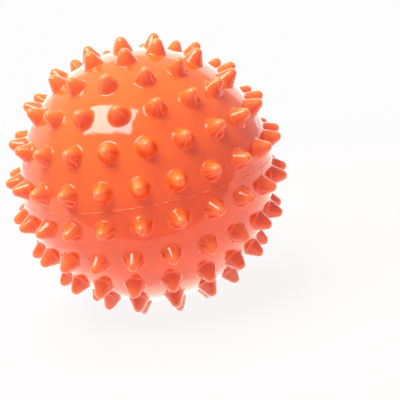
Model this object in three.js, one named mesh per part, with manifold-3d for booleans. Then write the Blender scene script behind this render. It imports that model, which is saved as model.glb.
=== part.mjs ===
// Spiky massage ball: two moulded half shells that carry the spikes, a weld bead round
// the seam between them, and an inflation valve with a pull-out plug at the lower pole.
// Millimetres, +Z up along the pole axis. The origin is on the surface that the ball
// stands on, below its centre. Azimuth 0 faces -Y and grows towards +X.
import * as THREE from "three";
import { mergeVertices } from "three/addons/utils/BufferGeometryUtils.js";
import Module from "manifold-3d";

const wasm = await Module();
wasm.setup();

// Driving dimensions
const OVERALL_DIAMETER = 90; // over the spike tips
const SPIKE_HEIGHT = 4.7;
const SPIKE_HALF_ANGLE = 25; // degrees, of the cone's side
const SPIKE_TIP_RADIUS = 1.7;
const WALL = 3;
const FIT_GAP = 0.3; // between separate pieces

// Spikes stand in rings parallel to the seam, one ring pitch apart, half a pitch off the
// seam. Each entry is a ring's count and the azimuth of its first spike, from the seam up.
const RINGS_PER_HALF_TURN = 11;
const UPPER_RINGS = [[22, 12], [20, 2], [17, 12], [12, 13], [6, 2], [1, 0]];
const LOWER_RINGS = [[22, 10], [20, 4], [17, 2], [12, 3], [6, 10]]; // the valve has the pole

// Seam
const SEAM_GROOVE_HALF_WIDTH = 0.9; // of the V that the weld bead fills
const SEAM_GROOVE_DEPTH = 1;
const SEAM_BEAD_PROUD = 0.15;
const TONGUE_LENGTH = 1.6; // of the upper half's tongue below the seam

// Valve
const BORE_RADIUS = 1.5;
const STEM_RADIUS = 2.6;
const HEAD_RADIUS = 3.2;
const HEAD_THICKNESS = 1.5;
const HEAD_PROUD = 0.6; // how far the plug's head stands out of the flange
const FLANGE_RADIUS = 5.3;
const FLANGE_THICKNESS = 2.2;
const FLANGE_DROP = 0.2; // the flange's face below the round of the ball at the pole
const BOSS_RADIUS = 6.5;
const BOSS_THICKNESS = 3.5; // of the wall between the flange and the retaining lip
const LIP_RADIUS = 3.6;
const LIP_LENGTH = 2.6;
const PIN_END_RADIUS = 0.7;
const PIN_TAPER_LENGTH = 1.5;

// Facets
const radians = THREE.MathUtils.degToRad;
const SHELL_SEGMENTS = 32;
const SHELL_ARC_STEPS = 7; // from pole to seam
const SPIKE_SIDES = 8;
const TIP_FACET_ANGLE = radians(15); // from the end of the cone to the tip's only ring
const VALVE_SEGMENTS = 24;

// Worked out from the driving dimensions
const TIP_REACH = OVERALL_DIAMETER / 2;
const BODY_RADIUS = TIP_REACH - SPIKE_HEIGHT;
const INNER_RADIUS = BODY_RADIUS - WALL;
const RING_PITCH = 180 / RINGS_PER_HALF_TURN;
// The ball stands on the tips of the ring nearest the lower pole.
const CENTRE_HEIGHT = TIP_REACH * Math.cos(radians(RING_PITCH));

// Profiles are lists of [radius, height] from the ball's centre, turned round the Z axis.
const point = ([radius, height]) => new THREE.Vector2(radius, height);

function turned(profile, segments) {
  const geometry = new THREE.LatheGeometry(profile.map(point), segments);
  return geometry.rotateX(Math.PI / 2);
}

// Points on a circle about the centre, between two angles above the seam plane.
function arc(radius, from, to, steps) {
  return Array.from({ length: steps + 1 }, (_, i) => {
    const angle = from + ((to - from) * i) / steps;
    return [radius * Math.cos(angle), radius * Math.sin(angle)];
  });
}

const angleAtHeight = (radius, height) => Math.asin(height / radius);
const angleAtReach = (radius, reach) => Math.acos(reach / radius);

// Joining and cutting closed geometries
function toSolid(geometry) {
  const bare = geometry.clone().deleteAttribute("normal").deleteAttribute("uv");
  const merged = mergeVertices(bare, 1e-4);
  const mesh = new wasm.Mesh({
    numProp: 3,
    vertProperties: new Float32Array(merged.attributes.position.array),
    triVerts: new Uint32Array(merged.index.array),
  });
  return new wasm.Manifold(mesh);
}

function toGeometry(solid) {
  const { vertProperties, triVerts } = solid.getMesh();
  const geometry = new THREE.BufferGeometry();
  geometry.setAttribute("position", new THREE.BufferAttribute(vertProperties, 3));
  geometry.setIndex(new THREE.BufferAttribute(triVerts, 1));
  geometry.computeVertexNormals();
  return geometry;
}

// One spike on the Z axis: a cone with a blunt round tip and its foot sunk in the wall.
function spikeGeometry() {
  const slope = radians(SPIKE_HALF_ANGLE);
  const tipCentre = SPIKE_HEIGHT - SPIKE_TIP_RADIUS;
  const onTip = (angle) => [
    SPIKE_TIP_RADIUS * Math.cos(angle),
    BODY_RADIUS + tipCentre + SPIKE_TIP_RADIUS * Math.sin(angle),
  ];
  const coneRadiusAt = (height) => {
    const [tangentRadius, tangentHeight] = onTip(slope);
    return tangentRadius + (tangentHeight - BODY_RADIUS - height) * Math.tan(slope);
  };
  const sunk = -WALL / 2;
  const profile = [
    [0, BODY_RADIUS + sunk],
    [coneRadiusAt(sunk), BODY_RADIUS + sunk],
    onTip(slope + TIP_FACET_ANGLE),
    [0, TIP_REACH],
  ];
  return turned(profile, SPIKE_SIDES);
}

// Adds every spike of one half. side is +1 above the seam and -1 below it.
function withSpikes(shell, rings, side) {
  const spike = toSolid(spikeGeometry());
  const up = new THREE.Vector3(0, 0, 1);
  let joined = shell;
  rings.forEach(([count, firstAzimuth], ring) => {
    const latitude = radians(side * RING_PITCH * (ring + 0.5));
    for (let i = 0; i < count; i++) {
      const azimuth = radians(firstAzimuth + (360 * i) / count);
      const direction = new THREE.Vector3(
        Math.cos(latitude) * Math.sin(azimuth),
        -Math.cos(latitude) * Math.cos(azimuth),
        Math.sin(latitude),
      );
      const turn = new THREE.Quaternion().setFromUnitVectors(up, direction);
      const matrix = new THREE.Matrix4().makeRotationFromQuaternion(turn);
      joined = joined.add(spike.transform(matrix.elements));
    }
  });
  return joined;
}

// Upper half: a dome whose rim has half of the weld groove and a tongue that locates it.
const RIM = FIT_GAP / 2;
const GROOVE_FLOOR = BODY_RADIUS - SEAM_GROOVE_DEPTH;
const TONGUE_OUTER = BODY_RADIUS - WALL / 2 - FIT_GAP / 2;

function upperHalfShell() {
  const outerStart = angleAtHeight(BODY_RADIUS, SEAM_GROOVE_HALF_WIDTH);
  const profile = [
    ...arc(INNER_RADIUS, Math.PI / 2, 0, SHELL_ARC_STEPS),
    [INNER_RADIUS, -TONGUE_LENGTH],
    [TONGUE_OUTER, -TONGUE_LENGTH],
    [TONGUE_OUTER, RIM],
    [GROOVE_FLOOR, RIM],
    ...arc(BODY_RADIUS, outerStart, Math.PI / 2, SHELL_ARC_STEPS),
  ];
  profile[0][0] = 0;
  profile[profile.length - 1][0] = 0;
  return withSpikes(toSolid(turned(profile, SHELL_SEGMENTS)), UPPER_RINGS, 1);
}

// Lower half: the dome upside down, rebated for the tongue, with the valve's boss and hole.
const FLANGE_FACE = -(BODY_RADIUS - FLANGE_DROP);
const FLANGE_BACK = FLANGE_FACE + FLANGE_THICKNESS;
const RECESS_FLOOR = FLANGE_BACK + FIT_GAP;
const BOSS_FACE = RECESS_FLOOR + BOSS_THICKNESS;

function lowerHalfShell() {
  const rebateOuter = TONGUE_OUTER + FIT_GAP;
  const rebateFloor = -TONGUE_LENGTH - FIT_GAP;
  const recessRadius = FLANGE_RADIUS + FIT_GAP;
  const holeRadius = STEM_RADIUS + FIT_GAP;
  const profile = [
    [holeRadius, BOSS_FACE],
    [holeRadius, RECESS_FLOOR],
    [recessRadius, RECESS_FLOOR],
    ...arc(
      BODY_RADIUS,
      -angleAtReach(BODY_RADIUS, recessRadius),
      -angleAtHeight(BODY_RADIUS, SEAM_GROOVE_HALF_WIDTH),
      SHELL_ARC_STEPS,
    ),
    [GROOVE_FLOOR, -RIM],
    [rebateOuter, -RIM],
    [rebateOuter, rebateFloor],
    ...arc(
      INNER_RADIUS,
      angleAtHeight(INNER_RADIUS, rebateFloor),
      -angleAtReach(INNER_RADIUS, BOSS_RADIUS),
      SHELL_ARC_STEPS,
    ),
    [BOSS_RADIUS, BOSS_FACE],
    [holeRadius, BOSS_FACE],
  ];
  return withSpikes(toSolid(turned(profile, SHELL_SEGMENTS)), LOWER_RINGS, -1);
}

// Weld bead: a ring in the V groove, a little proud of the ball.
function seamWeld() {
  const halfWidth = SEAM_GROOVE_HALF_WIDTH / 2;
  const root = GROOVE_FLOOR + FIT_GAP;
  const profile = [
    [root, 0],
    [BODY_RADIUS, -halfWidth],
    [BODY_RADIUS + SEAM_BEAD_PROUD, 0],
    [BODY_RADIUS, halfWidth],
    [root, 0],
  ];
  return turned(profile, SHELL_SEGMENTS);
}

// Valve seat: flange with a pocket for the plug's head, stem, retaining lip and bore.
const POCKET_FLOOR = FLANGE_FACE + HEAD_THICKNESS - HEAD_PROUD + FIT_GAP;
const LIP_START = BOSS_FACE + FIT_GAP;

function valveSeat() {
  const pocketRadius = HEAD_RADIUS + FIT_GAP;
  const lipEnd = LIP_START + LIP_LENGTH;
  const profile = [
    [BORE_RADIUS, lipEnd],
    [BORE_RADIUS, POCKET_FLOOR],
    [pocketRadius, POCKET_FLOOR],
    [pocketRadius, FLANGE_FACE],
    [FLANGE_RADIUS, FLANGE_FACE],
    [FLANGE_RADIUS, FLANGE_BACK],
    [STEM_RADIUS, FLANGE_BACK],
    [STEM_RADIUS, LIP_START],
    [LIP_RADIUS, LIP_START],
    [STEM_RADIUS, lipEnd],
    [BORE_RADIUS, lipEnd],
  ];
  return turned(profile, VALVE_SEGMENTS);
}

// Valve plug: a flat head to pull by and a tapered pin.
function valvePlug() {
  const pinRadius = BORE_RADIUS - FIT_GAP;
  const headFace = FLANGE_FACE - HEAD_PROUD;
  const headBack = headFace + HEAD_THICKNESS;
  const edge = HEAD_PROUD / 2;
  const pinEnd = LIP_START + LIP_LENGTH / 2;
  const profile = [
    [0, headFace],
    [HEAD_RADIUS - edge, headFace],
    [HEAD_RADIUS, headFace + edge],
    [HEAD_RADIUS, headBack],
    [pinRadius, headBack],
    [pinRadius, pinEnd - PIN_TAPER_LENGTH],
    [PIN_END_RADIUS, pinEnd],
    [0, pinEnd],
  ];
  return turned(profile, VALVE_SEGMENTS);
}

// Materials
const orangeVinyl = new THREE.MeshStandardMaterial({ color: 0xf5692d, roughness: 0.2, metalness: 0 });
const weldVinyl = new THREE.MeshStandardMaterial({ color: 0xe95f2c, roughness: 0.3, metalness: 0 });
const seatRubber = new THREE.MeshStandardMaterial({ color: 0xd8501f, roughness: 0.6, metalness: 0 });
const plugPlastic = new THREE.MeshStandardMaterial({ color: 0xf3f0ea, roughness: 0.4, metalness: 0 });

// Assembly
const ball = new THREE.Group();
ball.position.z = CENTRE_HEIGHT;

function addPiece(name, geometry, material) {
  const mesh = new THREE.Mesh(geometry, material);
  mesh.name = name;
  ball.add(mesh);
}

addPiece("upper_half_shell", toGeometry(upperHalfShell()), orangeVinyl);
addPiece("lower_half_shell", toGeometry(lowerHalfShell()), orangeVinyl);
addPiece("seam_weld", seamWeld(), weldVinyl);
addPiece("valve_seat", valveSeat(), seatRubber);
addPiece("valve_plug", valvePlug(), plugPlastic);

const massageBall = new THREE.Group();
massageBall.add(ball);

export default massageBall;
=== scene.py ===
import math

import bmesh
import bpy
from bpy.props import FloatProperty, FloatVectorProperty, IntProperty, PointerProperty
from mathutils import Euler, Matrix, Quaternion, Vector, noise
from mathutils.kdtree import KDTree


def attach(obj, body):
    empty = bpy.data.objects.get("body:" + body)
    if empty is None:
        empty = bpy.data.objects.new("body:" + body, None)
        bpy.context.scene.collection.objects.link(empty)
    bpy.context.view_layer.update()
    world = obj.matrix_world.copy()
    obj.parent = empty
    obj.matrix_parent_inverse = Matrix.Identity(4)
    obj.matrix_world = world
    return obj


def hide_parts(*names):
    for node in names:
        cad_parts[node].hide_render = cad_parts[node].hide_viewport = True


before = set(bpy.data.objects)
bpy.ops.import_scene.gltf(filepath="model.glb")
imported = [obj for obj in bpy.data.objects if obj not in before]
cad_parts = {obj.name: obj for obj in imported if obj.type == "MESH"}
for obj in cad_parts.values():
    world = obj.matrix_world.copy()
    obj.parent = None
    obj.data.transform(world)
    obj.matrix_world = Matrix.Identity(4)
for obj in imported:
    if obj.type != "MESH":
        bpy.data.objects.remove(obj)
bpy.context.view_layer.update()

bl_info = {
    "name": "Spiky Massage Ball",
    "version": (1, 0, 0),
    "blender": (4, 5, 0),
    "location": "View3D > Sidebar > Massage Ball",
    "description": "Builds a vinyl massage ball with moulded spikes, a welded seam and an air valve",
    "category": "Add Mesh",
}

UP = Vector((0.0, 0.0, 1.0))
FULL_TURN = 2.0 * math.pi

# Spike rings of each half, from the seam to the pole: count and azimuth of the first spike in
# degrees. Azimuth 0 faces the viewer and grows to the viewer's right.
RINGS_PER_HALF_TURN = 11
UPPER_RINGS = ((22, 12.0), (20, 2.0), (17, 12.0), (12, 13.0), (6, 2.0), (1, 0.0))
LOWER_RINGS = ((22, 10.0), (20, 4.0), (17, 2.0), (12, 3.0), (6, 10.0))


def length(name, description, default):
    """A size in metres that the sidebar shows in the scene's units."""
    return FloatProperty(
        name=name, description=description, default=default, min=0.0, precision=5, unit="LENGTH"
    )


def colour(name, description, default):
    """A linear colour that the sidebar shows as a swatch."""
    return FloatVectorProperty(
        name=name, description=description, default=default, min=0.0, max=1.0, size=3, subtype="COLOR"
    )


def angle(name, description, degrees):
    """An angle given in degrees and stored in radians."""
    return FloatProperty(
        name=name, description=description, default=math.radians(degrees), subtype="ANGLE"
    )


class BallSizes(bpy.types.PropertyGroup):
    """Sizes of the hollow ball and its spikes"""

    tip_radius: length("Tip radius", "From the ball's centre to the spike tips", 0.045)
    body_radius: length("Body radius", "From the ball's centre to the wall between spikes", 0.0403)
    wall: length("Wall", "Thickness of the vinyl wall", 0.003)
    spike_half_angle: angle("Spike half angle", "Between a spike's side and its axis", 25.0)
    spike_tip_round: length("Spike tip round", "Radius of the ball-round tip of a spike", 0.0017)
    seam_half_width: length("Seam half width", "Half the width of the weld bead", 0.0002)
    seam_proud: length("Seam height", "How far the weld bead stands out of the ball", 0.00012)
    spike_fillet: length("Spike fillet", "Radius of the fillet round a spike's foot", 0.0005)
    spike_sides: IntProperty(
        name="Spike sides", description="Facets round one spike", default=20, min=8, max=48
    )


class ValveSizes(bpy.types.PropertyGroup):
    """Sizes of the air valve at the lower pole"""

    bore_radius: length("Bore radius", "Of the hole for the pump needle", 0.0015)
    stem_radius: length("Stem radius", "Of the seat's stem through the wall", 0.0026)
    head_radius: length("Head radius", "Of the plug's head", 0.0032)
    head_thickness: length("Head thickness", "Of the plug's head", 0.0015)
    head_proud: length("Head height", "How far the plug's head stands out of the flange", 0.0006)
    flange_radius: length("Flange radius", "Of the seat's flange", 0.0053)
    flange_thickness: length("Flange thickness", "Of the seat's flange", 0.0022)
    flange_drop: length("Flange drop", "The flange's face below the round of the ball", 0.0002)
    boss_radius: length("Boss radius", "Of the thick wall round the stem", 0.0065)
    boss_thickness: length("Boss thickness", "Of the wall that the stem goes through", 0.0035)
    lip_radius: length("Lip radius", "Of the lip that keeps the seat in", 0.0036)
    lip_length: length("Lip length", "Of the tapered end of the stem", 0.0026)
    gap: length("Gap", "Between separate pieces", 0.0003)


class Finishes(bpy.types.PropertyGroup):
    """Colours of the pieces"""

    vinyl: colour("Vinyl", "Colour of the shell between the spikes", (0.79, 0.148, 0.014))
    # Painted light: the paler colour that the spikes take towards their tips, to look lit there.
    vinyl_tip_painted_light: colour("Vinyl at the tips", "Colour of the spike tips", (0.9, 0.26, 0.06))
    vinyl_deep: colour("Vinyl in the hollows", "Darker variation of the vinyl", (0.77, 0.132, 0.012))
    # Painted highlight: the paler colour of the weld bead's broken dashes.
    seam: colour("Seam", "Colour of the weld bead", (0.97, 0.3, 0.12))
    seat: colour("Valve seat", "Colour of the valve's soft seat", (0.66, 0.075, 0.015))
    plug: colour("Valve plug", "Colour of the valve's plug", (0.86, 0.83, 0.76))


class Studio(bpy.types.PropertyGroup):
    """Camera and light"""

    view_height: angle("View height", "Of the camera above the seam plane", 13.38)
    view_roll: angle("View roll", "Lean of the ball's pole to the left in the picture", 11.11)
    view_distance: length("View distance", "From the camera to the ball's centre", 0.511)
    lens: FloatProperty(
        name="Lens", description="Focal length in millimetres on a 36 mm sensor", default=143.9
    )
    turn_right: angle("Turn right", "How far the camera looks past the ball to the right", 1.895)
    turn_down: angle("Turn down", "How far the camera looks below the ball's centre", 0.924)
    floor: colour("Floor", "Colour of the floor and backdrop", (0.98, 0.98, 0.98))


class MassageBall(bpy.types.PropertyGroup):
    """All settings of the massage ball"""

    ball: PointerProperty(type=BallSizes)
    valve: PointerProperty(type=ValveSizes)
    finish: PointerProperty(type=Finishes)
    studio: PointerProperty(type=Studio)


def settings():
    return bpy.context.scene.massage_ball


def centre_height():
    """Height of the ball's centre: it stands on the spike ring nearest the lower pole."""
    return settings().ball.tip_radius * math.cos(math.pi / RINGS_PER_HALF_TURN)


# Shader building


class Value:
    """One number on a surface. Arithmetic on it adds Math nodes to its material."""

    def __init__(self, finish, socket):
        self.finish = finish
        self.socket = socket

    def math(self, operation, *operands):
        return self.finish.node("ShaderNodeMath", {"operation": operation}, dict(enumerate(operands)))

    def __add__(self, other):
        return self.math("ADD", self, other)

    def __radd__(self, other):
        return self.math("ADD", other, self)

    def __sub__(self, other):
        return self.math("SUBTRACT", self, other)

    def __rsub__(self, other):
        return self.math("SUBTRACT", other, self)

    def __mul__(self, other):
        return self.math("MULTIPLY", self, other)

    def __rmul__(self, other):
        return self.math("MULTIPLY", other, self)


# Sockets of the Mix node that are in use when it mixes colours.
MIX_FACTOR = 0
MIX_FIRST_COLOUR = 6
MIX_SECOND_COLOUR = 7
MIX_COLOUR_RESULT = 2


class Finish:
    """A procedural material under construction."""

    def __init__(self, name):
        self.material = bpy.data.materials.new(name)
        self.material.use_nodes = True
        self.tree = self.material.node_tree
        self.shader = self.tree.nodes["Principled BSDF"]

    def feed(self, socket, value):
        if isinstance(value, Value):
            self.tree.links.new(value.socket, socket)
        else:
            socket.default_value = value

    def node(self, kind, options=None, inputs=None, output=0):
        """Adds a node, sets its options, feeds its inputs and returns one of its outputs."""
        made = self.tree.nodes.new(kind)
        for option, value in (options or {}).items():
            setattr(made, option, value)
        for key, value in (inputs or {}).items():
            self.feed(made.inputs[key], value)
        return Value(self, made.outputs[output])

    def set(self, **sockets):
        """Sets or links sockets of the main shader, named with underscores for spaces."""
        for name, value in sockets.items():
            self.feed(self.shader.inputs[name.replace("_", " ")], value)

    def place(self, offset=(0.0, 0.0, 0.0), stretch=(1.0, 1.0, 1.0)):
        """Object coordinates, moved and stretched."""
        plain = self.node("ShaderNodeTexCoord", output="Object")
        return self.node(
            "ShaderNodeMapping", inputs={"Vector": plain, "Location": offset, "Scale": stretch}
        )

    def noise(self, scale, detail=2.0, roughness=0.5, where=None):
        return self.node(
            "ShaderNodeTexNoise",
            inputs={
                "Vector": where or self.place(),
                "Scale": scale,
                "Detail": detail,
                "Roughness": roughness,
            },
        )

    def distance(self, where):
        """How far a place is from the origin of its coordinates."""
        return self.node("ShaderNodeVectorMath", {"operation": "LENGTH"}, {0: where}, "Value")

    def spread(self, value, low, high, to_low=0.0, to_high=1.0):
        """Maps a range of a value to another range, smoothly and clamped."""
        return self.node(
            "ShaderNodeMapRange",
            {"interpolation_type": "SMOOTHSTEP"},
            {"Value": value, "From Min": low, "From Max": high, "To Min": to_low, "To Max": to_high},
        )

    def blend(self, factor, first, second):
        """Mixes two colours, each a triple or a colour Value."""
        first, second = (
            shade if isinstance(shade, Value) else (*shade, 1.0) for shade in (first, second)
        )
        inputs = {MIX_FACTOR: factor, MIX_FIRST_COLOUR: first, MIX_SECOND_COLOUR: second}
        return self.node("ShaderNodeMix", {"data_type": "RGBA"}, inputs, MIX_COLOUR_RESULT)

    def layers(self, factor, first, second):
        """Mixes two shaders."""
        return self.node("ShaderNodeMixShader", inputs={0: factor, 1: first, 2: second})

    def own_shader(self):
        return Value(self, self.shader.outputs[0])

    def bump(self, height, strength, distance, below=None):
        inputs = {"Height": height, "Strength": strength, "Distance": distance}
        if below:
            inputs["Normal"] = below
        return self.node("ShaderNodeBump", inputs=inputs)


VINYL_IOR = 1.53
# Heights above the ball's wall: where a spike's skin begins and is complete, and where the painted
# light that pales a spike towards its tip begins. The worn part of the tip is measured back from its
# end.
SPIKE_SKIN_START = 0.0004
SPIKE_SKIN_END = 0.0018
TIP_LIGHT_START = 0.001
TIP_WEAR_DEPTH = 0.0012
# Roughness of clean vinyl, and what each mark on it adds.
VINYL_ROUGHNESS = 0.06
CLOUD_ROUGHNESS = 0.03
SMUDGE_ROUGHNESS = 0.06
SCUFF_ROUGHNESS = 0.04
SPIKE_ROUGHNESS = 0.06
TIP_ROUGHNESS = 0.1
SCUFF_STRETCH = (1.0, 0.16, 0.4)
SEAT_MARK_SHADE = 0.72
PLUG_YELLOWING = (0.95, 0.9, 0.82)


def centred(finish):
    """Object coordinates measured from the ball's centre."""
    return finish.place(offset=(0.0, 0.0, -centre_height()))


def vinyl_finish():
    """Glossy soft PVC: faint cloudiness, smudges, an orange-peel skin, worn spike tips, and painted
    light that makes the spikes paler towards their tips.
    """
    ball = settings().ball
    palette = settings().finish
    finish = Finish("glossy_vinyl")
    reach = finish.distance(centred(finish))
    on_spike = finish.spread(
        reach, ball.body_radius + SPIKE_SKIN_START, ball.body_radius + SPIKE_SKIN_END
    )
    # Painted light: this mask pales the spikes towards their tips, so that they look lit.
    painted_tip_light = finish.spread(reach, ball.body_radius + TIP_LIGHT_START, ball.tip_radius)
    on_tip = finish.spread(reach, ball.tip_radius - TIP_WEAR_DEPTH, ball.tip_radius)
    cloud = finish.noise(scale=38.0, detail=3.0)
    smudges = finish.noise(scale=70.0, detail=4.0, roughness=0.6)
    smudge = finish.spread(smudges, low=0.52, high=0.72)
    scuffs = finish.noise(scale=900.0, detail=2.0, where=finish.place(stretch=SCUFF_STRETCH))
    scuff = finish.spread(scuffs, low=0.64, high=0.74)

    clear = finish.spread(cloud, low=0.35, high=0.65)
    cloudy = finish.blend(clear, palette.vinyl_deep, palette.vinyl)
    finish.set(Base_Color=finish.blend(painted_tip_light, cloudy, palette.vinyl_tip_painted_light))

    marks = VINYL_ROUGHNESS + CLOUD_ROUGHNESS * cloud + SMUDGE_ROUGHNESS * smudge
    wear = SPIKE_ROUGHNESS * on_spike + TIP_ROUGHNESS * on_tip
    finish.set(Roughness=marks + SCUFF_ROUGHNESS * scuff + wear)

    waviness = finish.noise(scale=170.0, detail=1.0)
    peel = finish.noise(scale=1500.0, detail=2.0)
    swell = finish.bump(waviness, strength=0.25, distance=0.0004)
    finish.set(Normal=finish.bump(peel, strength=0.12, distance=0.00008, below=swell))
    finish.set(
        IOR=VINYL_IOR,
        Subsurface_Weight=0.25,
        Subsurface_Radius=(1.0, 0.2, 0.1),
        Subsurface_Scale=0.003,
    )
    finish.shader.subsurface_method = "BURLEY"
    return finish.material


def seam_finish():
    """The weld bead: the same vinyl, a little rougher, with a painted highlight that makes it paler
    in broken dashes along its length.
    """
    palette = settings().finish
    finish = Finish("weld_bead_vinyl_painted_highlight")
    along = finish.noise(scale=320.0, detail=3.0, roughness=0.6)
    # Painted highlight: this mask pales the bead in broken dashes along its length.
    painted_highlight_dashes = finish.spread(along, low=0.46, high=0.58)
    grain = finish.noise(scale=2600.0, detail=3.0)
    finish.set(Base_Color=finish.blend(painted_highlight_dashes, palette.vinyl, palette.seam))
    finish.set(Roughness=0.22 + 0.25 * along)
    finish.set(Normal=finish.bump(grain, strength=0.3, distance=0.0001))
    finish.set(IOR=VINYL_IOR)
    return finish.material


def seat_finish():
    """Soft valve rubber: satin, with a fine grain and darker handling marks."""
    palette = settings().finish
    finish = Finish("valve_rubber")
    grain = finish.noise(scale=2400.0, detail=4.0, roughness=0.65)
    marks = finish.spread(finish.noise(scale=260.0, detail=3.0), low=0.5, high=0.75)
    dark = tuple(SEAT_MARK_SHADE * part for part in palette.seat)
    finish.set(Base_Color=finish.blend(marks, palette.seat, dark))
    finish.set(Roughness=0.5 + 0.2 * grain - 0.1 * marks)
    finish.set(Normal=finish.bump(grain, strength=0.35, distance=0.00008))
    return finish.material


def plug_finish():
    """Polyethylene stopper: milky, with turned rings from its mould and a soft sheen."""
    palette = settings().finish
    finish = Finish("plug_polyethylene")
    rings = finish.node(
        "ShaderNodeTexWave",
        {"wave_type": "RINGS", "rings_direction": "Z"},
        {"Vector": finish.place(), "Scale": 420.0, "Distortion": 0.4, "Detail": 1.0},
        output="Fac",
    )
    cloud = finish.noise(scale=300.0, detail=3.0)
    aged = finish.spread(cloud, low=0.4, high=0.7)
    yellowed = tuple(part * shift for part, shift in zip(palette.plug, PLUG_YELLOWING))
    finish.set(Base_Color=finish.blend(aged, palette.plug, yellowed))
    finish.set(Roughness=0.34 + 0.14 * cloud + 0.05 * rings)
    finish.set(Normal=finish.bump(rings, strength=0.12, distance=0.00006))
    finish.set(Subsurface_Weight=0.2, Subsurface_Radius=(1.0, 0.9, 0.75), Subsurface_Scale=0.001)
    return finish.material


# Mesh building. Shapes are made about the ball's centre and lifted into place at the end.

MERGE_DISTANCE = 1e-7
LEVEL_TOLERANCE = 1e-6
CREASE = math.radians(38.0)

# Spikes: steps of the round parts, rows along the straight side as shares of it, and the width of
# the collar on the ball round a spike's foot.
FILLET_STEPS = 1
TIP_STEPS = 3
STRAIGHT_ROWS = (0.12, 0.85)
COLLAR_WIDTH = 0.0004

# Shells: fineness of both skins, how far holes reach past what fills them, how near to a hole's
# middle its borders lie, and how far from the pole the facets are halved for the valve's well.
OUTER_SUBDIVISIONS = 7
INNER_SUBDIVISIONS = 6
HOLE_MARGIN = 0.00015
LOOP_REACH = 0.0012
WELL_FINE_REACH = 0.017
WELL_SIDES = 64
WELL_LIP_ROUND = 0.0004
WELL_LIP_STEPS = 4

# Weld bead: its shoulders as shares of its height and half width, and its unevenness.
SEAM_SIDES = 900
SEAM_DEPTH = 0.001
SEAM_SHOULDER_DROP = 0.25
SEAM_SHOULDER_SPREAD = 0.5
SEAM_RAGGED = 0.00007
SEAM_RAGGED_SCALE = 14.0

# Valve: rounds of its edges, the end of the plug's pin, and the dish in the plug's head as shares
# of the head's radius and height.
VALVE_SIDES = 64
EDGE_ROUND = 0.00018
EDGE_SEGMENTS = 3
PIN_END_RADIUS = 0.0007
PIN_TAPER = 0.0015
DISH_RADIUS_SHARE = 0.6
DISH_DEPTH_SHARE = 0.3


def arc(middle, radius, start, stop, steps):
    """Points of an arc in the profile plane, as (distance from the axis, height)."""
    points = []
    for i in range(steps + 1):
        turn = start + (stop - start) * i / steps
        points.append((middle[0] + radius * math.cos(turn), middle[1] + radius * math.sin(turn)))
    return points


def spin_profile(shape, profile, sides, closed=False):
    """Turns a profile once round the Z axis and closes it where it meets the axis."""
    rim = [shape.verts.new((reach, 0.0, height)) for reach, height in profile]
    pairs = list(zip(rim, rim[1:]))
    if closed:
        pairs.append((rim[-1], rim[0]))
    edges = [shape.edges.new(pair) for pair in pairs]
    bmesh.ops.spin(
        shape, geom=rim + edges, cent=(0, 0, 0), axis=UP, angle=FULL_TURN, steps=sides, use_merge=True
    )
    bmesh.ops.remove_doubles(shape, verts=shape.verts, dist=MERGE_DISTANCE)


def spike_profile():
    """From a spike's foot on the ball to its tip: fillet, straight side and round end."""
    ball = settings().ball
    slope = ball.spike_half_angle
    outwards = Vector((math.cos(slope), math.sin(slope)))
    downwards = Vector((math.sin(slope), -math.cos(slope)))
    tip_middle = Vector((0.0, ball.tip_radius - ball.spike_tip_round))
    tip = arc(tip_middle, ball.spike_tip_round, slope, math.pi / 2, TIP_STEPS)
    tip[-1] = (0.0, ball.tip_radius)
    # The fillet's middle is its own radius away from both the spike's side and the ball.
    start = tip_middle + (ball.spike_tip_round + ball.spike_fillet) * outwards
    along = start.dot(downwards)
    reach = ball.body_radius + ball.spike_fillet
    drop = -along - math.sqrt(along**2 - start.length_squared + reach**2)
    fillet_middle = start + drop * downwards
    foot_turn = math.atan2(-fillet_middle.y, -fillet_middle.x)
    side_turn = math.atan2(-outwards.y, -outwards.x)
    fillet = arc(fillet_middle, ball.spike_fillet, foot_turn, side_turn, FILLET_STEPS)
    # Rows near both ends keep the side straight in the shading.
    side = [tuple(Vector(fillet[-1]).lerp(Vector(tip[0]), share)) for share in STRAIGHT_ROWS]
    # A collar on the ball keeps the fillet's shading from spreading past the foot.
    collar = math.atan2(*fillet[0]) + COLLAR_WIDTH / ball.body_radius
    rim = (ball.body_radius * math.sin(collar), ball.body_radius * math.cos(collar))
    return [rim] + fillet + side + tip


def spike_directions(rings, side):
    """Unit vectors from the ball's centre to the spikes of one half."""
    directions = []
    for ring, (count, first) in enumerate(rings):
        latitude = side * (ring + 0.5) * math.pi / RINGS_PER_HALF_TURN
        for i in range(count):
            azimuth = math.radians(first) + FULL_TURN * i / count
            directions.append(
                Vector(
                    (
                        math.cos(latitude) * math.sin(azimuth),
                        -math.cos(latitude) * math.cos(azimuth),
                        math.sin(latitude),
                    )
                )
            )
    return directions


def half_ball(shape, radius, subdivisions, side, rim):
    """One half of a fine ball, cut off square at the rim's height."""
    bmesh.ops.create_icosphere(shape, subdivisions=subdivisions, radius=radius)
    bmesh.ops.bisect_plane(
        shape,
        geom=shape.verts[:] + shape.edges[:] + shape.faces[:],
        dist=MERGE_DISTANCE,
        plane_co=UP * (side * rim),
        plane_no=UP * -side,
        clear_outer=True,
    )


def refine_near(shape, point, reach, radius):
    """Halves the facets of a ball near a point."""

    def close_by(vert):
        return (vert.co - point).length < reach

    edges = [edge for edge in shape.edges if all(close_by(vert) for vert in edge.verts)]
    bmesh.ops.subdivide_edges(shape, edges=edges, cuts=1, use_grid_fill=True)
    for vert in filter(close_by, shape.verts):
        vert.co *= radius / vert.co.length


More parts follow.
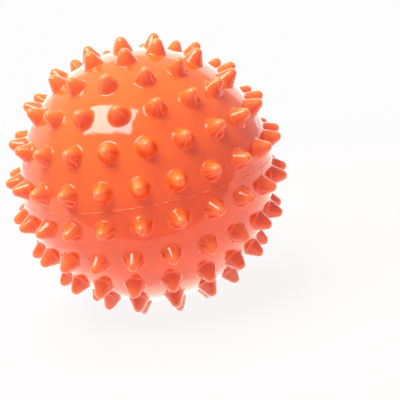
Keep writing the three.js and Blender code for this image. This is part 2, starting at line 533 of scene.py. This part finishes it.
def open_holes(shape, places):
    """Removes the surface near each place, given as (point, reach)."""
    tree = KDTree(len(shape.verts))
    shape.verts.ensure_lookup_table()
    for vert in shape.verts:
        tree.insert(vert.co, vert.index)
    tree.balance()
    doomed = {found[1] for point, reach in places for found in tree.find_range(point, reach)}
    bmesh.ops.delete(shape, geom=[shape.verts[i] for i in sorted(doomed)], context="VERTS")
    wires = [edge for edge in shape.edges if edge.is_wire]
    bmesh.ops.delete(shape, geom=wires, context="EDGES")
    loose = [vert for vert in shape.verts if not vert.link_faces]
    bmesh.ops.delete(shape, geom=loose, context="VERTS")


def turned_copy(shape, template, turn):
    """Adds a turned copy of a template mesh to a shape."""
    known = len(shape.verts)
    shape.from_mesh(template)
    shape.verts.ensure_lookup_table()
    bmesh.ops.transform(shape, matrix=turn, verts=shape.verts[known:])


def kept_mesh(shape):
    """Keeps a shape as a mesh that can be added to others, and frees the shape."""
    mesh = bpy.data.meshes.new("template")
    shape.to_mesh(mesh)
    shape.free()
    return mesh


def border_loops(edges):
    """Groups open edges that hang together, with the middle of each group."""
    at_vert = {}
    for edge in edges:
        for vert in edge.verts:
            at_vert.setdefault(vert, []).append(edge)
    loops = []
    placed = set()
    for first in edges:
        if first in placed:
            continue
        placed.add(first)
        loop = [first]
        for edge in loop:
            for vert in edge.verts:
                fresh = [other for other in at_vert[vert] if other not in placed]
                placed.update(fresh)
                loop.extend(fresh)
        ends = [vert.co for edge in loop for vert in edge.verts]
        loops.append((sum(ends, Vector()) / len(ends), loop))
    return loops


def bridge_round(shape, loops, point):
    """Joins the two open borders that run round a point."""
    edges = [edge for middle, loop in loops if (middle - point).length < LOOP_REACH for edge in loop]
    bmesh.ops.bridge_loops(shape, edges=edges)


def on_rim(edge, height):
    """True for the edges where a half is cut off."""
    return all(abs(vert.co.z - height) < LEVEL_TOLERANCE for vert in edge.verts)


def shell_shape(rings, side, well=None):
    """A hollow half with its spikes, and with the valve's well at its pole if there is one."""
    ball = settings().ball
    profile = spike_profile()
    foot_reach, foot_height = profile[0]
    directions = spike_directions(rings, side)
    outer_places = [(way * foot_height, foot_reach + HOLE_MARGIN) for way in directions]
    inner_places = []
    if well:
        outer_places.append((UP * side * well[0][1], well[0][0] + HOLE_MARGIN))
        inner_places.append((UP * side * well[-1][1], well[-1][0] + 2.0 * HOLE_MARGIN))

    inner = bmesh.new()
    half_ball(inner, ball.body_radius - ball.wall, INNER_SUBDIVISIONS, side, ball.seam_half_width)
    open_holes(inner, inner_places)
    inner_mesh = kept_mesh(inner)

    spike = bmesh.new()
    spin_profile(spike, profile, ball.spike_sides)
    spike_mesh = kept_mesh(spike)
    inserts = bmesh.new()
    for way in directions:
        turned_copy(inserts, spike_mesh, UP.rotation_difference(way).to_matrix().to_4x4())
    if well:
        spin_profile(inserts, [(reach, side * height) for reach, height in well], WELL_SIDES)
    inserts.from_mesh(inner_mesh)
    inserts_mesh = kept_mesh(inserts)

    shape = bmesh.new()
    half_ball(shape, ball.body_radius, OUTER_SUBDIVISIONS, side, ball.seam_half_width)
    if well:
        refine_near(shape, UP * side * ball.body_radius, WELL_FINE_REACH, ball.body_radius)
    open_holes(shape, outer_places)
    shape.from_mesh(inserts_mesh)
    open_edges = [edge for edge in shape.edges if edge.is_boundary]
    rim_height = side * ball.seam_half_width
    loops = border_loops([edge for edge in open_edges if not on_rim(edge, rim_height)])
    for point, _reach in outer_places + inner_places:
        bridge_round(shape, loops, point)
    bmesh.ops.bridge_loops(shape, edges=[edge for edge in open_edges if on_rim(edge, rim_height)])
    bmesh.ops.recalc_face_normals(shape, faces=shape.faces)
    for mesh in (inner_mesh, spike_mesh, inserts_mesh):
        bpy.data.meshes.remove(mesh)
    return shape


def finished_piece(name, shape, material):
    """Lifts a shape to the ball's height and makes it an object with smooth faces."""
    bmesh.ops.translate(shape, verts=shape.verts, vec=UP * centre_height())
    for face in shape.faces:
        face.smooth = True
    for edge in shape.edges:
        edge.smooth = edge.calc_face_angle(0.0) < CREASE
    mesh = bpy.data.meshes.new(name)
    shape.to_mesh(mesh)
    shape.free()
    mesh.materials.append(material)
    piece = bpy.data.objects.new(name, mesh)
    bpy.context.collection.objects.link(piece)
    return piece


def stand_for(piece, node, body):
    """Puts a piece in place of a solid of the frame and on its body."""
    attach(piece, body)
    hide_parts(node)


def shared_vinyl():
    return bpy.data.materials.get("glossy_vinyl") or vinyl_finish()


class MASSAGEBALL_OT_upper_shell(bpy.types.Operator):
    """Build the upper half of the ball with its spikes"""

    bl_idname = "massageball.upper_shell"
    bl_label = "Upper Half Shell"

    def execute(self, context):
        shape = shell_shape(UPPER_RINGS, 1.0)
        piece = finished_piece("upper_shell", shape, shared_vinyl())
        stand_for(piece, "upper_half_shell", "ball")
        return {"FINISHED"}


def valve_heights():
    """Heights of the valve's faces below the ball's centre, as positive depths."""
    ball = settings().ball
    valve = settings().valve
    face = ball.body_radius - valve.flange_drop
    back = face - valve.flange_thickness
    recess = back - valve.gap
    boss = recess - valve.boss_thickness
    lip = boss - valve.gap
    return {"face": face, "back": back, "recess": recess, "boss": boss, "lip": lip}


def valve_well():
    """Profile of the valve's place in the wall, from the outer surface to the inner one."""
    ball = settings().ball
    valve = settings().valve
    depth = valve_heights()
    recess_radius = valve.flange_radius + valve.gap
    hole_radius = valve.stem_radius + valve.gap
    mouth = recess_radius + WELL_LIP_ROUND
    mouth_depth = math.sqrt(ball.body_radius**2 - mouth**2)
    lip_middle = (mouth, mouth_depth - WELL_LIP_ROUND)
    lip = arc(lip_middle, WELL_LIP_ROUND, math.pi / 2, math.pi, WELL_LIP_STEPS)
    inner_radius = ball.body_radius - ball.wall
    foot = valve.boss_radius + WELL_LIP_ROUND
    foot_depth = math.sqrt(inner_radius**2 - foot**2)
    return lip + [
        (recess_radius, depth["recess"]),
        (hole_radius, depth["recess"]),
        (hole_radius, depth["boss"]),
        (valve.boss_radius, depth["boss"]),
        (valve.boss_radius, foot_depth - WELL_LIP_ROUND),
        (foot, foot_depth),
    ]


class MASSAGEBALL_OT_lower_shell(bpy.types.Operator):
    """Build the lower half of the ball with its spikes and the valve's well"""

    bl_idname = "massageball.lower_shell"
    bl_label = "Lower Half Shell"

    def execute(self, context):
        shape = shell_shape(LOWER_RINGS, -1.0, valve_well())
        piece = finished_piece("lower_shell", shape, shared_vinyl())
        stand_for(piece, "lower_half_shell", "ball")
        return {"FINISHED"}


class MASSAGEBALL_OT_seam(bpy.types.Operator):
    """Build the weld bead round the seam, slightly uneven along its length"""

    bl_idname = "massageball.seam"
    bl_label = "Seam Weld"

    def execute(self, context):
        ball = settings().ball
        half = ball.seam_half_width
        root = ball.body_radius - SEAM_DEPTH
        crest = ball.body_radius + ball.seam_proud
        shoulder = crest - SEAM_SHOULDER_DROP * ball.seam_proud
        shoulder_half = SEAM_SHOULDER_SPREAD * half
        profile = [
            (root, half),
            (root, -half),
            (ball.body_radius, -half),
            (shoulder, -shoulder_half),
            (crest, 0.0),
            (shoulder, shoulder_half),
            (ball.body_radius, half),
        ]
        shape = bmesh.new()
        spin_profile(shape, profile, SEAM_SIDES, closed=True)
        for vert in shape.verts:
            outwards = Vector((vert.co.x, vert.co.y, 0.0)).normalized()
            if vert.co.dot(outwards) > ball.body_radius + LEVEL_TOLERANCE:
                vert.co += outwards * SEAM_RAGGED * noise.noise(outwards * SEAM_RAGGED_SCALE)
        bmesh.ops.recalc_face_normals(shape, faces=shape.faces)
        piece = finished_piece("seam_bead", shape, seam_finish())
        stand_for(piece, "seam_weld", "ball")
        return {"FINISHED"}


def round_edges(shape):
    """Rounds the sharp edges of a turned shape."""
    sharp = [edge for edge in shape.edges if edge.calc_face_angle(0.0) > CREASE]
    bmesh.ops.bevel(
        shape,
        geom=sharp,
        offset=EDGE_ROUND,
        offset_type="OFFSET",
        affect="EDGES",
        segments=EDGE_SEGMENTS,
        profile=0.5,
        clamp_overlap=True,
        material=-1,
    )


class MASSAGEBALL_OT_valve_seat(bpy.types.Operator):
    """Build the soft valve seat with its flange, stem, retaining lip and bore"""

    bl_idname = "massageball.valve_seat"
    bl_label = "Valve Seat"

    def execute(self, context):
        valve = settings().valve
        depth = valve_heights()
        pocket_floor = depth["face"] - (valve.head_thickness - valve.head_proud + valve.gap)
        pocket_radius = valve.head_radius + valve.gap
        lip_end = depth["lip"] - valve.lip_length
        profile = [
            (valve.bore_radius, -lip_end),
            (valve.bore_radius, -pocket_floor),
            (pocket_radius, -pocket_floor),
            (pocket_radius, -depth["face"]),
            (valve.flange_radius, -depth["face"]),
            (valve.flange_radius, -depth["back"]),
            (valve.stem_radius, -depth["back"]),
            (valve.stem_radius, -depth["lip"]),
            (valve.lip_radius, -depth["lip"]),
            (valve.stem_radius, -lip_end),
        ]
        shape = bmesh.new()
        spin_profile(shape, profile, VALVE_SIDES, closed=True)
        bmesh.ops.recalc_face_normals(shape, faces=shape.faces)
        round_edges(shape)
        piece = finished_piece("valve_rubber_seat", shape, seat_finish())
        stand_for(piece, "valve_seat", "ball")
        return {"FINISHED"}


class MASSAGEBALL_OT_valve_plug(bpy.types.Operator):
    """Build the plug that closes the valve's bore"""

    bl_idname = "massageball.valve_plug"
    bl_label = "Valve Plug"

    def execute(self, context):
        valve = settings().valve
        depth = valve_heights()
        pin_radius = valve.bore_radius - valve.gap
        head_face = depth["face"] + valve.head_proud
        head_back = head_face - valve.head_thickness
        pin_end = depth["lip"] - valve.lip_length / 2.0
        dish_radius = DISH_RADIUS_SHARE * valve.head_radius
        dish = DISH_DEPTH_SHARE * valve.head_proud
        profile = [
            (0.0, -(head_face - dish)),
            (dish_radius, -(head_face - dish)),
            (dish_radius + dish, -head_face),
            (valve.head_radius, -head_face),
            (valve.head_radius, -head_back),
            (pin_radius, -head_back),
            (pin_radius, -(pin_end + PIN_TAPER)),
            (PIN_END_RADIUS, -pin_end),
            (0.0, -pin_end),
        ]
        shape = bmesh.new()
        spin_profile(shape, profile, VALVE_SIDES)
        bmesh.ops.recalc_face_normals(shape, faces=shape.faces)
        round_edges(shape)
        piece = finished_piece("valve_stopper", shape, plug_finish())
        stand_for(piece, "valve_plug", "plug")
        return {"FINISHED"}


# Stage

SENSOR_WIDTH = 36.0
NEAR_CLIP = 0.01
WHITE = (1.0, 1.0, 1.0)
WARM = (1.0, 0.22, 0.12)
AMBIENT = (0.33, 0.03, 0.028)

# Floor: the share of it that takes shadow, the distances from the ball between which that share
# fades out, its colour where it takes shadow, and its colour as the ball's underside is lit by it.
FLOOR_SIZE = 0.8
FLOOR_SHADOW_SHARE = 0.08
FLOOR_SHADOW_REACH = (0.12, 0.26)
FLOOR_PAPER = (0.72, 0.65, 0.65)
FLOOR_BOUNCE = (0.82, 0.44, 0.36)
FLOOR_ROUGHNESS = 0.9

# Lamps: direction from the ball as the camera sees it, distance, twist about the beam in degrees,
# width and height, power, whether the vinyl is lit by the lamp or mirrors it, and any tint.
LIGHT_AND_REFLECTION, LIGHT_ONLY, REFLECTION_ONLY = range(3)
LAMPS = {
    "key_softbox": ((-0.48, 0.7, 0.5), 0.62, 13.0, (0.46, 0.26), 4.1, LIGHT_AND_REFLECTION),
    "overhead": ((-0.3, 1.0, 0.0), 0.8, 13.0, (0.5, 0.5), 6.2, LIGHT_ONLY),
    "right_fill": ((1.0, -0.1, 0.5), 0.8, 0.0, (0.6, 0.6), 2.2, LIGHT_ONLY, WARM),
    "under_fill": ((0.0, -1.0, 0.2), 0.8, 0.0, (0.6, 0.6), 3.5, LIGHT_ONLY),
    "back_panel": ((0.1, 0.28, -1.0), 0.7, 11.0, (0.9, 0.9), 3.2, REFLECTION_ONLY),
    "left_panel": ((-0.77, 0.09, -0.64), 0.8, 11.0, (0.7, 0.6), 0.7, REFLECTION_ONLY),
}

# The floor by the ball glows in reflections, in layers that share their back and left edges. Each
# layer has its own front and right edge, as distances from below the ball's centre.
LIGHT_TABLE_LAYERS = ((0.025, 0.03), (0.034, 0.06), (0.043, 0.1), (0.054, 0.2), (0.07, 0.6))
LIGHT_TABLE_BACK = 0.55
LIGHT_TABLE_LEFT = 0.6
LIGHT_TABLE_HEIGHT = 0.0002
LIGHT_TABLE_GLOW = 5.5
LIGHT_TABLE_TINT = (1.0, 0.86, 0.68)


def seen_rays(finish):
    """1 for rays from the camera, from reflections and through clear pieces, else 0."""
    from_camera, mirrored, through = (
        finish.node("ShaderNodeLightPath", output=name)
        for name in ("Is Camera Ray", "Is Glossy Ray", "Is Transmission Ray")
    )
    return from_camera.math("MAXIMUM", from_camera.math("MAXIMUM", from_camera, mirrored), through)


def floor_finish(shade):
    """Pale paper: near white with a faint shadow round the ball, and clear when seen from below."""
    finish = Finish("studio_floor")
    seen = seen_rays(finish)
    finish.set(Base_Color=finish.blend(seen, FLOOR_BOUNCE, FLOOR_PAPER))
    finish.set(Roughness=FLOOR_ROUGHNESS, Specular_IOR_Level=0.0)
    glow = finish.node("ShaderNodeEmission", inputs={"Color": (*shade, 1.0)})
    away = finish.distance(finish.place())
    shadow = finish.spread(away, *FLOOR_SHADOW_REACH, to_low=FLOOR_SHADOW_SHARE, to_high=0.0)
    paper = finish.layers(seen * (1.0 - shadow), finish.own_shader(), glow)
    from_below = finish.node("ShaderNodeNewGeometry", output="Backfacing")
    clear = finish.node("ShaderNodeBsdfTransparent")
    surface = finish.tree.nodes["Material Output"].inputs["Surface"]
    finish.feed(surface, finish.layers(from_below, paper, clear))
    return finish.material


def area_lamp(name, place, turn, size, power, role, tint=WHITE):
    """A rectangular lamp that the camera itself doesn't see."""
    lamp = bpy.data.lights.new(name, "AREA")
    lamp.shape = "RECTANGLE"
    lamp.size, lamp.size_y = size
    lamp.energy = power
    lamp.color = tint
    holder = bpy.data.objects.new(name, lamp)
    holder.location = place
    holder.rotation_mode = "QUATERNION"
    holder.rotation_quaternion = turn
    holder.visible_camera = False
    holder.visible_glossy = role != LIGHT_ONLY
    holder.visible_diffuse = role != REFLECTION_ONLY
    bpy.context.collection.objects.link(holder)


def softbox(name, way, distance, twist, *lamp):
    """A lamp that faces the ball from a direction."""
    turn = way.to_track_quat("Z", "Y") @ Quaternion(UP, math.radians(twist))
    area_lamp(name, UP * centre_height() + way * distance, turn, *lamp)


def light_table():
    """Layers of glow on the floor that only show in reflections."""
    upwards = Quaternion((1.0, 0.0, 0.0), math.pi)
    share = LIGHT_TABLE_GLOW / len(LIGHT_TABLE_LAYERS)
    for front, right in LIGHT_TABLE_LAYERS:
        size = (LIGHT_TABLE_LEFT + right, LIGHT_TABLE_BACK + front)
        middle = ((right - LIGHT_TABLE_LEFT) / 2.0, (LIGHT_TABLE_BACK - front) / 2.0)
        power = share * math.pi * size[0] * size[1]
        place = (*middle, LIGHT_TABLE_HEIGHT)
        area_lamp("light_table", place, upwards, size, power, REFLECTION_ONLY, LIGHT_TABLE_TINT)


class SkyFinish(Finish):
    """The world's node tree, built with the same tools as a material."""

    def __init__(self, world):
        world.use_nodes = True
        self.tree = world.node_tree
        self.shader = self.tree.nodes["Background"]


def lay_floor():
    """The ground that the ball stands on."""
    shape = bmesh.new()
    bmesh.ops.create_grid(shape, x_segments=1, y_segments=1, size=FLOOR_SIZE)
    mesh = bpy.data.meshes.new("studio_floor")
    shape.to_mesh(mesh)
    shape.free()
    mesh.materials.append(floor_finish(settings().studio.floor))
    floor = bpy.data.objects.new("studio_floor", mesh)
    bpy.context.collection.objects.link(floor)


def surround():
    """A world that looks as pale as the floor and lights with a reddish ambient."""
    world = bpy.data.worlds.new("studio_surround")
    bpy.context.scene.world = world
    sky = SkyFinish(world)
    backdrop = settings().studio.floor
    sky.set(Color=sky.blend(seen_rays(sky), AMBIENT, backdrop), Strength=1.0)


def place_camera():
    """Sets up the camera and returns the turn that faces the ball's centre."""
    studio = settings().studio
    towards = Vector((0.0, -math.cos(studio.view_height), math.sin(studio.view_height)))
    facing = (-towards).to_track_quat("-Z", "Y") @ Quaternion(UP, -studio.view_roll)
    off_centre = Euler((-studio.turn_down, -studio.turn_right, 0.0)).to_quaternion()
    camera = bpy.data.objects.new("camera", bpy.data.cameras.new("camera"))
    camera.data.lens = studio.lens
    camera.data.sensor_width = SENSOR_WIDTH
    camera.data.clip_start = NEAR_CLIP
    camera.location = UP * centre_height() + towards * studio.view_distance
    camera.rotation_mode = "QUATERNION"
    camera.rotation_quaternion = facing @ off_centre
    bpy.context.collection.objects.link(camera)
    bpy.context.scene.camera = camera
    return facing


class MASSAGEBALL_OT_stage(bpy.types.Operator):
    """Set up the pale floor, the soft light and the camera"""

    bl_idname = "massageball.stage"
    bl_label = "Stage"

    def execute(self, context):
        context.scene.view_settings.view_transform = "Standard"
        lay_floor()
        surround()
        facing = place_camera()
        for name, (way, *lamp) in LAMPS.items():
            softbox(name, facing @ Vector(way).normalized(), *lamp)
        light_table()
        return {"FINISHED"}


PIECE_OPERATORS = (
    MASSAGEBALL_OT_upper_shell,
    MASSAGEBALL_OT_lower_shell,
    MASSAGEBALL_OT_seam,
    MASSAGEBALL_OT_valve_seat,
    MASSAGEBALL_OT_valve_plug,
    MASSAGEBALL_OT_stage,
)


class MASSAGEBALL_PT_sidebar(bpy.types.Panel):
    """Settings and pieces of the massage ball"""

    bl_idname = "MASSAGEBALL_PT_sidebar"
    bl_label = "Massage Ball"
    bl_space_type = "VIEW_3D"
    bl_region_type = "UI"
    bl_category = "Massage Ball"

    def draw(self, context):
        layout = self.layout
        store = context.scene.massage_ball
        for heading, group in (
            ("Ball", store.ball),
            ("Valve", store.valve),
            ("Colours", store.finish),
            ("Studio", store.studio),
        ):
            box = layout.box()
            box.label(text=heading)
            for name in group.__annotations__:
                box.prop(group, name)
        for operator in PIECE_OPERATORS:
            layout.operator(operator.bl_idname)


CLASSES = (
    BallSizes,
    ValveSizes,
    Finishes,
    Studio,
    MassageBall,
    *PIECE_OPERATORS,
    MASSAGEBALL_PT_sidebar,
)


def register():
    for item in CLASSES:
        bpy.utils.register_class(item)
    bpy.types.Scene.massage_ball = PointerProperty(type=MassageBall)


def unregister():
    del bpy.types.Scene.massage_ball
    for item in reversed(CLASSES):
        bpy.utils.unregister_class(item)


def main():
    register()
    bpy.ops.massageball.upper_shell()
    bpy.ops.massageball.lower_shell()
    bpy.ops.massageball.seam()
    bpy.ops.massageball.valve_seat()
    bpy.ops.massageball.valve_plug()
    bpy.ops.massageball.stage()


if __name__ == "__main__":
    main()
